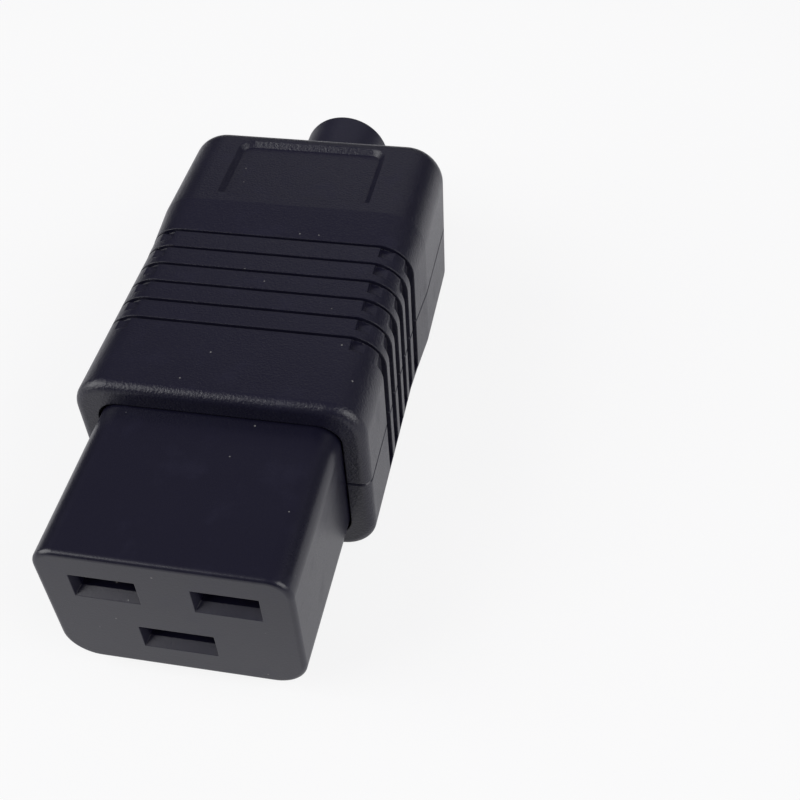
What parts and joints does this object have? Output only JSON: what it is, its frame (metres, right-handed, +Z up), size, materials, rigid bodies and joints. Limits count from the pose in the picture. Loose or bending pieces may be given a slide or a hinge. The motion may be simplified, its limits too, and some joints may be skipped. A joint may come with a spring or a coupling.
{
  "type": "c19 power connector",
  "caption": "Rewireable female C19 power connector: two-part ribbed housing, rectangular nose with flat pin openings and a round cord guard.",
  "frame": {"origin": "middle of the overall width and length, on the plane of the flat underside", "axes": "+Y along the connector from the mating face towards the cord entry, +Z up from the underside, +X to the right seen from the mating face"},
  "size_m": [0.0348, 0.0846, 0.0244],
  "materials": {
    "nose_plastic": "satin moulded",
    "retainer_plastic": "matte moulded",
    "housing_plastic": "fine spark-eroded grain",
    "guard_rubber": "smooth",
    "screw_steel": "zinc plated",
    "spring_steel": "plain",
    "contact_brass": "rolled strip"
  },
  "bodies": {
    "root": {"nose_block": "nose_plastic", "contact_retainer": "retainer_plastic", "upper_shell": "housing_plastic", "lower_shell": "housing_plastic", "cord_guard": "guard_rubber", "cord_clamp_bar": "retainer_plastic", "cord_clamp_screw_left": "screw_steel", "cord_clamp_screw_right": "screw_steel", "housing_screw_front_left": "screw_steel", "housing_screw_front_right": "screw_steel", "housing_screw_rear_left": "screw_steel", "housing_screw_rear_right": "screw_steel", "line_contact": "contact_brass", "line_contact_spring": "spring_steel", "line_terminal_screw": "screw_steel", "line_wire_clamp_plate": "screw_steel", "neutral_contact": "contact_brass", "neutral_contact_spring": "spring_steel", "neutral_terminal_screw": "screw_steel", "neutral_wire_clamp_plate": "screw_steel", "earth_contact": "contact_brass", "earth_contact_spring": "spring_steel", "earth_terminal_screw": "screw_steel", "earth_wire_clamp_plate": "screw_steel"}
  },
  "joints": []
}
